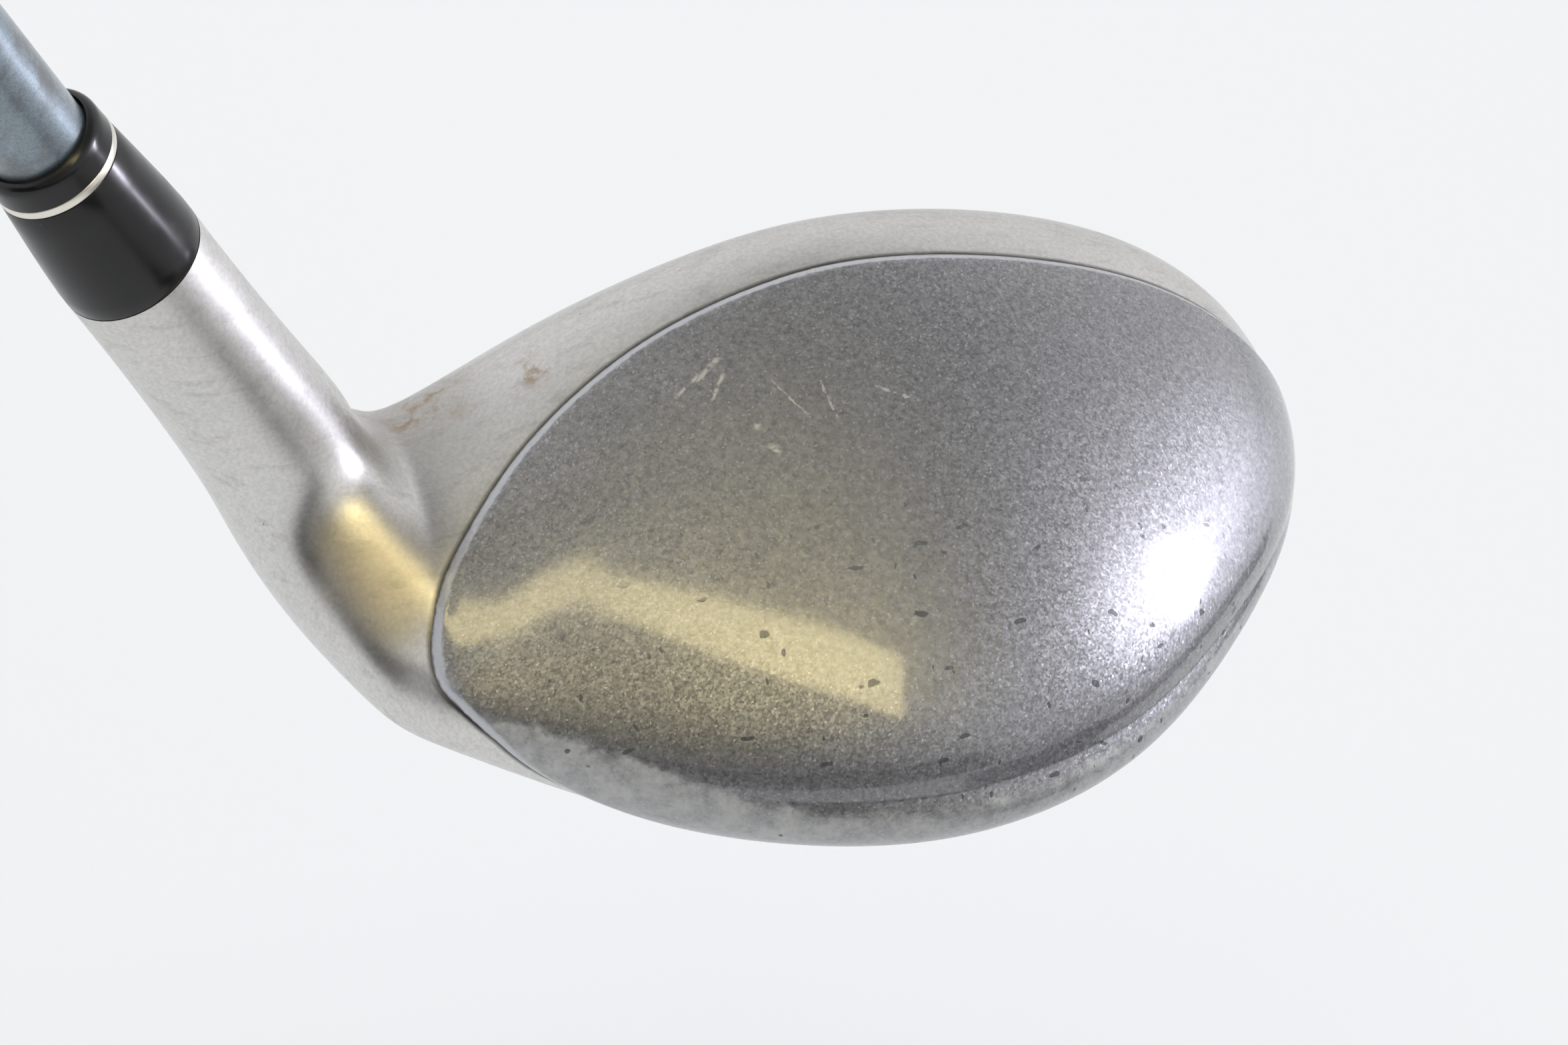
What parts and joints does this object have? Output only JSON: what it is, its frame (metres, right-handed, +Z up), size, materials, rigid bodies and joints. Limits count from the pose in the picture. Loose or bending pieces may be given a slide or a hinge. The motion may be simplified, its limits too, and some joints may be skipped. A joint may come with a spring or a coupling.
{
  "type": "fairway wood",
  "caption": "Right-handed steel fairway wood with a grey painted crown, bare hosel, black ferrule with a bright ring, grey graphite shaft and black rubber grip.",
  "frame": {"origin": "middle of the ground line under the shaft plane, where the flat of the sole touches the ground at address", "axes": "+X from heel to toe, +Y towards the target (out of the face), +Z up; the shaft leans towards -X at its lie angle of 58.6 degrees, in the plane Y = 0"},
  "size_m": [0.6523, 0.0654, 0.9167],
  "materials": {
    "satin_steel": "satin",
    "grey_paint": "satin",
    "blasted_steel": "matte",
    "brushed_sole": "satin",
    "hot_melt": "matte",
    "tip_brass": "satin",
    "shaft_paint": "satin",
    "ferrule_black": "gloss",
    "ferrule_silver": "gloss",
    "grip_tape": "matte",
    "grip_rubber": "matte"
  },
  "bodies": {
    "root": {"head_casting": "satin_steel", "rear_shell": "grey_paint", "face_plate": "blasted_steel", "sole_plate": "brushed_sole", "hot_melt_pad": "hot_melt", "tip_weight": "tip_brass", "shaft": "shaft_paint", "ferrule_sleeve": "ferrule_black", "ferrule_ring": "ferrule_silver", "ferrule_collar": "ferrule_black", "grip_tape": "grip_tape", "grip": "grip_rubber", "grip_cap": "grip_rubber"}
  },
  "joints": []
}
